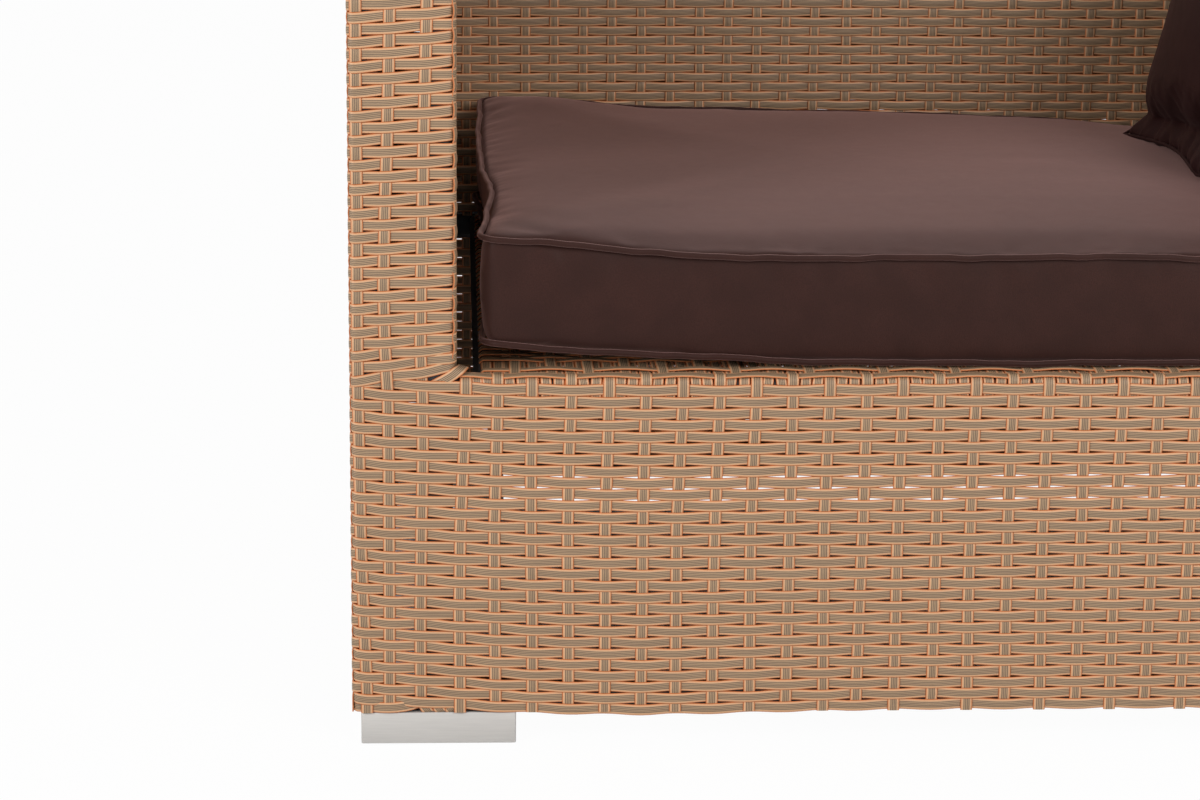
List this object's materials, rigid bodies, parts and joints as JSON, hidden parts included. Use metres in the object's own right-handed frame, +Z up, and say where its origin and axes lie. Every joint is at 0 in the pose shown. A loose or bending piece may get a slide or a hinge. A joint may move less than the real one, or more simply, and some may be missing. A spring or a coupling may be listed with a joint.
{
  "type": "woven garden sofa",
  "caption": "Low square-armed garden sofa in woven flat strand, with block feet, a piped seat cushion and a loose pillow.",
  "frame": {"origin": "on the ground, under the middle of the sofa's footprint", "axes": "+Z up, +X towards the right arm as the sofa is seen from the front, and the front faces -Y"},
  "size_m": [1.1, 0.78, 0.8601],
  "materials": {
    "rattan": "matte plastic strand with fine grooves",
    "frame_paint": "dark grey powder coat",
    "foot_aluminium": "pale satin",
    "glide_plastic": "matte",
    "bolt_steel": "zinc plated",
    "cushion_fabric": "smooth satin weave with a slight sheen",
    "zip_tape": "woven tape",
    "pillow_fabric": "smooth satin weave with a slight sheen"
  },
  "bodies": {
    "sofa": {"back_inner_top_rail": "frame_paint", "back_inner_weave": "rattan", "back_mid_post": "frame_paint", "back_outer_top_rail": "frame_paint", "back_top_weave": "rattan", "bottom_front_rail": "frame_paint", "bottom_rear_rail": "frame_paint", "front_apron_weave": "rattan", "left_arm_front_weave": "rattan", "left_arm_inner_rail": "frame_paint", "left_arm_inner_top_rail": "frame_paint", "left_arm_inner_weave": "rattan", "left_arm_outer_top_rail": "frame_paint", "left_arm_outer_weave": "rattan", "left_arm_top_weave": "rattan", "left_bottom_rail": "frame_paint", "left_deck_rail": "frame_paint", "left_front_foot": "foot_aluminium", "left_front_foot_bolt": "bolt_steel", "left_front_glide": "glide_plastic", "left_front_inner_post": "frame_paint", "left_front_outer_post": "frame_paint", "left_rear_foot": "foot_aluminium", "left_rear_foot_bolt": "bolt_steel", "left_rear_glide": "glide_plastic", "left_rear_inner_post": "frame_paint", "left_rear_outer_post": "frame_paint", "left_side_mid_rail": "frame_paint", "rear_weave": "rattan", "right_arm_front_weave": "rattan", "right_arm_inner_rail": "frame_paint", "right_arm_inner_top_rail": "frame_paint", "right_arm_inner_weave": "rattan", "right_arm_outer_top_rail": "frame_paint", "right_arm_outer_weave": "rattan", "right_arm_top_weave": "rattan", "right_bottom_rail": "frame_paint", "right_deck_rail": "frame_paint", "right_front_foot": "foot_aluminium", "right_front_foot_bolt": "bolt_steel", "right_front_glide": "glide_plastic", "right_front_inner_post": "frame_paint", "right_front_outer_post": "frame_paint", "right_rear_foot": "foot_aluminium", "right_rear_foot_bolt": "bolt_steel", "right_rear_glide": "glide_plastic", "right_rear_inner_post": "frame_paint", "right_rear_outer_post": "frame_paint", "right_side_mid_rail": "frame_paint", "seat_bar_1": "frame_paint", "seat_bar_2": "frame_paint", "seat_deck_weave": "rattan", "seat_front_rail": "frame_paint", "seat_rear_rail": "frame_paint"},
    "cushion": {"seat_cushion": "cushion_fabric", "zip_tape": "zip_tape"},
    "zip": {"zip_slider": "bolt_steel"},
    "pillow_body": {"pillow": "pillow_fabric"}
  },
  "joints": [
    {"name": "cushion_lift", "type": "slide", "parent": "sofa", "child": "cushion", "axis": [0, 0, 1], "range_m": [0, 0.42]},
    {"name": "pillow_lift", "type": "slide", "parent": "cushion", "child": "pillow_body", "axis": [0, 0, 1], "range_m": [0, 0.3]},
    {"name": "zip_travel", "type": "slide", "parent": "cushion", "child": "zip", "axis": [-1, 0, 0], "range_m": [0, 0.458]}
  ]
}
